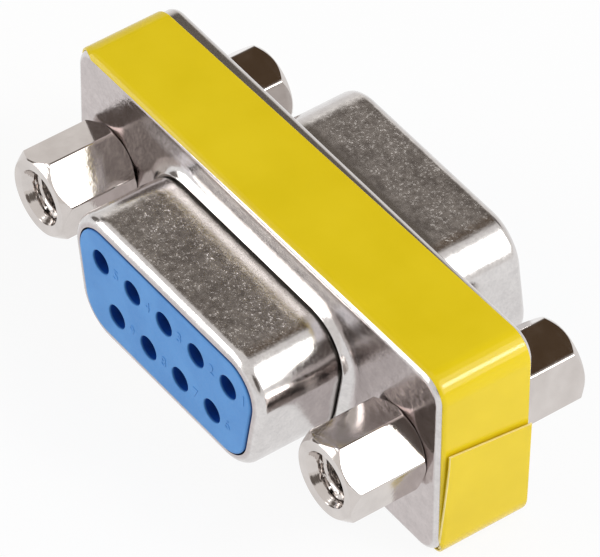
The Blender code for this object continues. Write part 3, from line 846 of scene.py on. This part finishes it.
def label_mesh():
    """The vinyl strip, glued round both pans, with its last end lapped over its first."""
    bm = bmesh.new()
    loops = []
    for (x, z), (out_x, out_z), lift, front, rear in label_stations():
        inner = LABEL_GLUE_GAP + lift
        section = [(off, -depth) for off, depth in label_half(inner, front)]
        section.extend(reversed(label_half(inner, rear)))
        loops.append([bm.verts.new((x + out_x * off, y, z + out_z * off)) for off, y in section])
    for vert in loops[-1]:
        vert.co.z -= LABEL_SEAM_SLOPE * vert.co.y
    fill_solid(bm, loops)
    edge_places = range(LABEL_EDGE_STEPS, LABEL_EDGE_STEPS + LABEL_ROUNDING_STEPS + 1)
    lapped = {loop[place] for loop in loops[-LABEL_LAP_STEPS - 1:] for place in edge_places}
    last = set(loops[-1])
    # The end cap and the rounded front edge of the lap get the pale core, which is partly a painted
    # highlight
    for face in bm.faces:
        if last.issuperset(face.verts) or lapped.issuperset(face.verts):
            face.material_index = 1
    return to_mesh(bm, "label", LABEL_SHARP_ANGLE)


def build_label():
    label = label_mesh()
    for look in (yellow_vinyl(), vinyl_core()):
        label.materials.append(look)
    add_piece("wrap_label", label, "label")


# Materials

def shader_of(name):
    """A new node material with its tree and its Principled shader."""
    material = bpy.data.materials.new(name)
    material.use_nodes = True
    return material, material.node_tree, material.node_tree.nodes["Principled BSDF"]


def object_place(tree):
    """The place on the piece, in metres."""
    return tree.nodes.new("ShaderNodeTexCoord").outputs["Object"]


def separate(tree, vector):
    """The X, Y and Z outputs of a vector."""
    node = tree.nodes.new("ShaderNodeSeparateXYZ")
    tree.links.new(vector, node.inputs["Vector"])
    return node.outputs


def noise(tree, place, scale, detail, roughness):
    """A noise value whose spots are about one over scale metres wide."""
    node = tree.nodes.new("ShaderNodeTexNoise")
    node.inputs["Scale"].default_value = scale
    node.inputs["Detail"].default_value = detail
    node.inputs["Roughness"].default_value = roughness
    tree.links.new(place, node.inputs["Vector"])
    return node.outputs["Fac"]


def spread(tree, value, low, high, from_low=NOISE_LOW, from_high=NOISE_HIGH):
    """Map a value from one range to another, by default the range where most of a noise lies."""
    node = tree.nodes.new("ShaderNodeMapRange")
    node.inputs["From Min"].default_value = from_low
    node.inputs["From Max"].default_value = from_high
    node.inputs["To Min"].default_value = low
    node.inputs["To Max"].default_value = high
    tree.links.new(value, node.inputs["Value"])
    return node.outputs["Result"]


def mask(tree, value, edge, full):
    """Nought on the edge's side and one on the other side, with a ramp between edge and full."""
    return spread(tree, value, 0.0, 1.0, edge, full)


def mask_mm(tree, value, edge, full):
    """A mask by place, with its edge and full in millimetres."""
    return mask(tree, value, edge * MM, full * MM)


def mix_colours(tree, factor, first, second):
    """A colour between two others, each of them three numbers or a link."""
    node = tree.nodes.new("ShaderNodeMix")
    node.data_type = "RGBA"
    tree.links.new(factor, node.inputs["Factor"])
    for socket, colour in (("A", first), ("B", second)):
        if isinstance(colour, tuple):
            node.inputs[socket].default_value = (*colour, 1.0)
        else:
            tree.links.new(colour, node.inputs[socket])
    return node.outputs["Result"]


def math_node(tree, operation, first, second=None):
    """One Math node. The second value is a number, a link or nothing."""
    node = tree.nodes.new("ShaderNodeMath")
    node.operation = operation
    tree.links.new(first, node.inputs[0])
    if isinstance(second, float):
        node.inputs[1].default_value = second
    elif second is not None:
        tree.links.new(second, node.inputs[1])
    return node.outputs["Value"]


def product(tree, first, second):
    return math_node(tree, "MULTIPLY", first, second)


def add_noises(tree, first, second, share):
    """Two noise values as one, the first with a share and the second with the rest."""
    return math_node(tree, "ADD", product(tree, first, share), product(tree, second, 1.0 - share))


def depth_of(tree, axes):
    """The depth in front of the mid-plane, in metres."""
    return product(tree, axes["Y"], -1.0)


def facing(tree, direction, towards):
    """How closely a direction points towards another, as a dot product."""
    node = tree.nodes.new("ShaderNodeVectorMath")
    node.operation = "DOT_PRODUCT"
    tree.links.new(direction, node.inputs[0])
    node.inputs[1].default_value = towards
    return node.outputs["Value"]


def paint(tree, shader, value, tints):
    """Let the base colour vary between two tints by a noise value."""
    colour = mix_colours(tree, spread(tree, value, 0.0, 1.0), *tints)
    tree.links.new(colour, shader.inputs["Base Color"])


def add_bumps(tree, shader, bumps):
    """Put bumps on top of each other, each a pattern and its height in millimetres."""
    normal = None
    for pattern, height in bumps:
        node = tree.nodes.new("ShaderNodeBump")
        node.inputs["Strength"].default_value = 1.0
        node.inputs["Distance"].default_value = height * MM
        tree.links.new(pattern, node.inputs["Height"])
        if normal is not None:
            tree.links.new(normal, node.inputs["Normal"])
        normal = node.outputs["Normal"]
    tree.links.new(normal, shader.inputs["Normal"])


def plated_steel():
    """Bright plating on drawn steel, with a fine mottled grain and a slight overall waver.

    The plate faces are painted darker, as painted shade for the shadowed floor they mirror, but for a
    strip beside the wide side of the shroud, which is painted lighter as a painted reflection. The
    shroud's level walls are blotched and pitted, and plain and dull over the neck. The groove at its root
    is painted dark, as painted shade.
    """
    material, tree, shader = shader_of("plated_steel_look")
    place = object_place(tree)
    axes = separate(tree, place)
    patches = noise(tree, place, *PATCH_NOISE)
    grain = noise(tree, place, *GRAIN_NOISE)
    blotches = noise(tree, place, *BLOTCH_NOISE)

    # Zones
    normals = separate(tree, tree.nodes.new("ShaderNodeTexCoord").outputs["Normal"])
    plate = mask(tree, product(tree, normals["Y"], normals["Y"]), *PLATE_FACES)
    level = mask(tree, product(tree, normals["Z"], normals["Z"]), *LEVEL_FACES)
    # The strip of painted reflection beside the wide side of the shroud
    strip = product(tree, mask_mm(tree, axes["Z"], *STRIP_BOTTOM), mask_mm(tree, axes["Z"], *STRIP_TOP))
    sideways = math_node(tree, "ABSOLUTE", axes["X"])
    sheen_zone = product(tree, strip, mask_mm(tree, sideways, *STRIP_ENDS))
    depth = depth_of(tree, axes)
    # A ragged shift of depth, for the edges of the painted groove shade and of the drawn and pitted walls
    ragged_shift = product(tree, noise(tree, place, *RAGGED_NOISE), RAGGED_REACH * MM)
    ragged_depth = math_node(tree, "SUBTRACT", depth, ragged_shift)
    drawn = product(tree, level, mask_mm(tree, ragged_depth, *DRAWN_START))
    neck = math_node(tree, "SUBTRACT", level, drawn)
    # Painted shade in the groove at the root
    groove_shade = product(tree, mask_mm(tree, depth, *GROOVE_SHADE_START), mask_mm(tree, ragged_depth, *GROOVE_SHADE_END))

    # Colour
    shade = mask(tree, add_noises(tree, patches, grain, PATCH_SHARE), *MOTTLE_RANGE)
    # Plate faces painted darker as painted shade, and lighter in the strip as a painted reflection
    plate_shade_tint = mix_colours(tree, shade, *PLATE_SHADE_TINTS)
    plate_tint = mix_colours(tree, sheen_zone, plate_shade_tint, mix_colours(tree, shade, *PAINTED_SHEEN_TINTS))
    clouds = noise(tree, place, *CLOUD_NOISE)
    drawn_shade = mask(tree, add_noises(tree, blotches, clouds, BLOTCH_SHARE), *BLOTCH_RANGE)
    colour = mix_colours(tree, plate, mix_colours(tree, shade, *STEEL_TINTS), plate_tint)
    colour = mix_colours(tree, neck, colour, NECK_TINT)
    colour = mix_colours(tree, drawn, colour, mix_colours(tree, drawn_shade, *DRAWN_TINTS))
    # Paint the shade in the groove
    colour = mix_colours(tree, groove_shade, colour, GROOVE_SHADE_TINT)
    tree.links.new(colour, shader.inputs["Base Color"])

    # Roughness and relief
    added = product(tree, level, LEVEL_ROUGHNESS)
    rough = math_node(tree, "ADD", added, spread(tree, grain, *STEEL_ROUGHNESS))
    tree.links.new(rough, shader.inputs["Roughness"])
    specks = mask(tree, noise(tree, place, *SPECK_NOISE), *SPECK_RANGE)
    gathered = product(tree, spread(tree, patches, *PIT_SHARES), mask_mm(tree, ragged_depth, *PIT_START))
    pits = product(tree, product(tree, specks, drawn), gathered)
    marked = math_node(tree, "ADD", drawn, product(tree, plate, PLATE_RELIEF))
    add_bumps(tree, shader, (
        (noise(tree, place, *WAVER_NOISE), WAVER_BUMP),
        (grain, GRAIN_BUMP),
        (product(tree, blotches, marked), BLOTCH_BUMP),
        (pits, PIT_BUMP),
    ))
    shader.inputs["Metallic"].default_value = 1.0
    return material


def plated_brass(name, mouth):
    """Nickel on hexagonal bar: a fine grain, and turning marks on the bevels and round the mouth."""
    material, tree, shader = shader_of(name)
    place = object_place(tree)
    axes = separate(tree, place)
    squares = [product(tree, axes[axis], axes[axis]) for axis in ("X", "Z")]
    radius = math_node(tree, "SQRT", math_node(tree, "ADD", *squares))
    rings = tree.nodes.new("ShaderNodeCombineXYZ")
    tree.links.new(radius, rings.inputs["X"])
    lines = noise(tree, rings.outputs["Vector"], *RING_NOISE)
    turned = [(mouth - distance) * MM for distance in TURNED_ZONE]
    near_mouth = spread(tree, depth_of(tree, axes), FACET_MARKS, 1.0, *turned)
    smudge = noise(tree, place, *SMUDGE_NOISE)
    paint(tree, shader, smudge, BRASS_TINTS)
    tree.links.new(spread(tree, smudge, *BRASS_ROUGHNESS), shader.inputs["Roughness"])
    add_bumps(tree, shader, (
        (smudge, SMUDGE_BUMP),
        (noise(tree, place, *GRAIN_NOISE), GRAIN_BUMP),
        (product(tree, lines, near_mouth), RING_BUMP),
    ))
    shader.inputs["Metallic"].default_value = 1.0
    return material


def blue_plastic():
    """Moulded blue plastic with a fine satin skin. Inside its holes it is painted a dark navy, as painted
    shade.
    """
    material, tree, shader = shader_of("blue_plastic_look")
    place = object_place(tree)
    skin = noise(tree, place, *SKIN_NOISE)
    cloud = spread(tree, noise(tree, place, *PLASTIC_NOISE), 0.0, 1.0)
    # Painted shade: dark navy down inside the holes
    hole_shade = mask_mm(tree, depth_of(tree, separate(tree, place)), *HOLE_SHADE_START)
    colour = mix_colours(tree, hole_shade, mix_colours(tree, cloud, *PLASTIC_TINTS), HOLE_SHADE_NAVY)
    tree.links.new(colour, shader.inputs["Base Color"])
    tree.links.new(spread(tree, skin, *PLASTIC_ROUGHNESS), shader.inputs["Roughness"])
    add_bumps(tree, shader, ((skin, SKIN_BUMP),))
    shader.inputs["Specular IOR Level"].default_value = PLASTIC_GLOSS
    return material


def yellow_vinyl():
    """Glossy yellow vinyl with a faint orange peel."""
    material, tree, shader = shader_of("yellow_vinyl_look")
    place = object_place(tree)
    peel = noise(tree, place, *PEEL_NOISE)
    paint(tree, shader, noise(tree, place, *VINYL_NOISE), VINYL_TINTS)
    tree.links.new(spread(tree, peel, *VINYL_ROUGHNESS), shader.inputs["Roughness"])
    add_bumps(tree, shader, ((peel, PEEL_BUMP),))
    shader.inputs["Specular IOR Level"].default_value = VINYL_GLOSS
    return material


def vinyl_core():
    """The pale core of the vinyl, which shows where it is cut, and also a painted highlight on the cut
    edges.
    """
    material, tree, shader = shader_of("vinyl_core_look")
    paint(tree, shader, noise(tree, object_place(tree), *CORE_NOISE), CORE_AND_HIGHLIGHT_TINTS)
    shader.inputs["Roughness"].default_value = CORE_ROUGHNESS
    return material


def contact_gold():
    """A thin gold flash on the contacts, a little uneven."""
    material, tree, shader = shader_of("contact_brass_look")
    wear = noise(tree, object_place(tree), *GOLD_NOISE)
    paint(tree, shader, wear, GOLD_TINTS)
    tree.links.new(spread(tree, wear, *GOLD_ROUGHNESS), shader.inputs["Roughness"])
    shader.inputs["Metallic"].default_value = 1.0
    return material


# Studio

def background_rays(tree):
    """One where a camera, glossy or transmission ray looks, else nought."""
    light_path = tree.nodes.new("ShaderNodeLightPath")
    total = light_path.outputs["Is Camera Ray"]
    for name in ("Is Glossy Ray", "Is Transmission Ray"):
        total = math_node(tree, "MAXIMUM", total, light_path.outputs[name])
    return total


def mix_shaders(tree, factor, first, second):
    mix = tree.nodes.new("ShaderNodeMixShader")
    for value, socket in zip((factor, first, second), mix.inputs):
        tree.links.new(value, socket)
    return mix.outputs["Shader"]


def seen_surroundings(tree):
    """What metal and gloss mirror.

    It is a pale room with a dim ceiling at the left rear, a dim gap that the camera looks through, another
    dim gap at the left, and a dark panel overhead.
    """
    direction = tree.nodes.new("ShaderNodeTexCoord").outputs["Generated"]
    ceiling, left_rear, camera_gap, left_gap, panel = [
        mask(tree, facing(tree, direction, towards), edge, full)
        for towards, edge, full in (CEILING, LEFT_REAR, CAMERA_GAP, LEFT_GAP, TOP_PANEL)
    ]
    dim = product(tree, ceiling, left_rear)
    for patch in (camera_gap, left_gap, panel):
        dim = math_node(tree, "MAXIMUM", dim, patch)
    return mix_colours(tree, dim, ROOM_SHADE, mix_colours(tree, panel, DIM_SHADE, PANEL_SHADE))


def build_world():
    """Plain soft light all round, and a background that the camera sees as white."""
    world = bpy.data.worlds.new("studio")
    bpy.context.scene.world = world
    world.use_nodes = True
    tree = world.node_tree
    tree.nodes.clear()
    output = tree.nodes.new("ShaderNodeOutputWorld")
    plain = tree.nodes.new("ShaderNodeBackground")
    plain.inputs["Color"].default_value = (*WHITE, 1.0)
    plain.inputs["Strength"].default_value = SOFT_LIGHT
    seen = tree.nodes.new("ShaderNodeBackground")
    seen.inputs["Strength"].default_value = 1.0
    camera_ray = tree.nodes.new("ShaderNodeLightPath").outputs["Is Camera Ray"]
    tree.links.new(mix_colours(tree, camera_ray, seen_surroundings(tree), WHITE), seen.inputs["Color"])
    mix = mix_shaders(tree, background_rays(tree), plain.outputs["Background"], seen.outputs["Background"])
    tree.links.new(mix, output.inputs["Surface"])


def build_floor(height):
    """A pale floor that keeps a soft shadow and looks white."""
    bm = bmesh.new()
    bmesh.ops.create_grid(bm, x_segments=1, y_segments=1, size=FLOOR_HALF_SIZE)
    mesh = bpy.data.meshes.new("floor")
    bm.to_mesh(mesh)
    bm.free()
    floor = bpy.data.objects.new("floor", mesh)
    floor.location = (0, 0, height)
    bpy.context.scene.collection.objects.link(floor)
    material = bpy.data.materials.new("floor_look")
    material.use_nodes = True
    tree = material.node_tree
    tree.nodes.clear()
    output = tree.nodes.new("ShaderNodeOutputMaterial")
    matt = tree.nodes.new("ShaderNodeBsdfDiffuse")
    matt.inputs["Color"].default_value = (*FLOOR_SHADE, 1.0)
    glow = tree.nodes.new("ShaderNodeEmission")
    glow.inputs["Strength"].default_value = 1.0
    share = product(tree, background_rays(tree), FLOOR_GLOW)
    mix = mix_shaders(tree, share, matt.outputs["BSDF"], glow.outputs["Emission"])
    tree.links.new(mix, output.inputs["Surface"])
    mesh.materials.append(material)


def add_softbox(name, direction, distance, width, height, radiance):
    """A flat lamp that faces the part. Its radiance is what a mirror would show."""
    lamp = bpy.data.lights.new(name, "AREA")
    lamp.shape = "RECTANGLE"
    lamp.size = width
    lamp.size_y = height
    lamp.energy = radiance * pi * width * height
    holder = bpy.data.objects.new(name, lamp)
    aim = Vector(direction).normalized()
    holder.location = aim * distance
    holder.rotation_euler = aim.to_track_quat("Z", "Y").to_euler()
    bpy.context.scene.collection.objects.link(holder)


def build_camera():
    camera = bpy.data.cameras.new("camera")
    camera.sensor_width = CAMERA_SENSOR
    camera.lens = CAMERA_LENS
    camera.clip_start = CAMERA_CLIP_START
    holder = bpy.data.objects.new("camera", camera)
    holder.location = [value * MM for value in CAMERA_PLACE]
    holder.rotation_euler = [radians(value) for value in CAMERA_TURN]
    bpy.context.scene.collection.objects.link(holder)
    bpy.context.scene.camera = holder


def main():
    build_camera()
    build_pans(plated_steel())
    build_blocks(blue_plastic())
    build_jacks()
    build_label()
    gold = contact_gold()
    for number, _, _ in pin_places():
        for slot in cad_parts[f"contact_{number}"].material_slots:
            slot.material = gold
    build_world()
    for name, settings in SOFTBOXES.items():
        add_softbox(name, *settings)
    bpy.context.view_layer.update()
    build_floor(cad_box[0][2] - FLOOR_GAP * MM)
    bpy.context.scene.view_settings.view_transform = "Standard"


main()
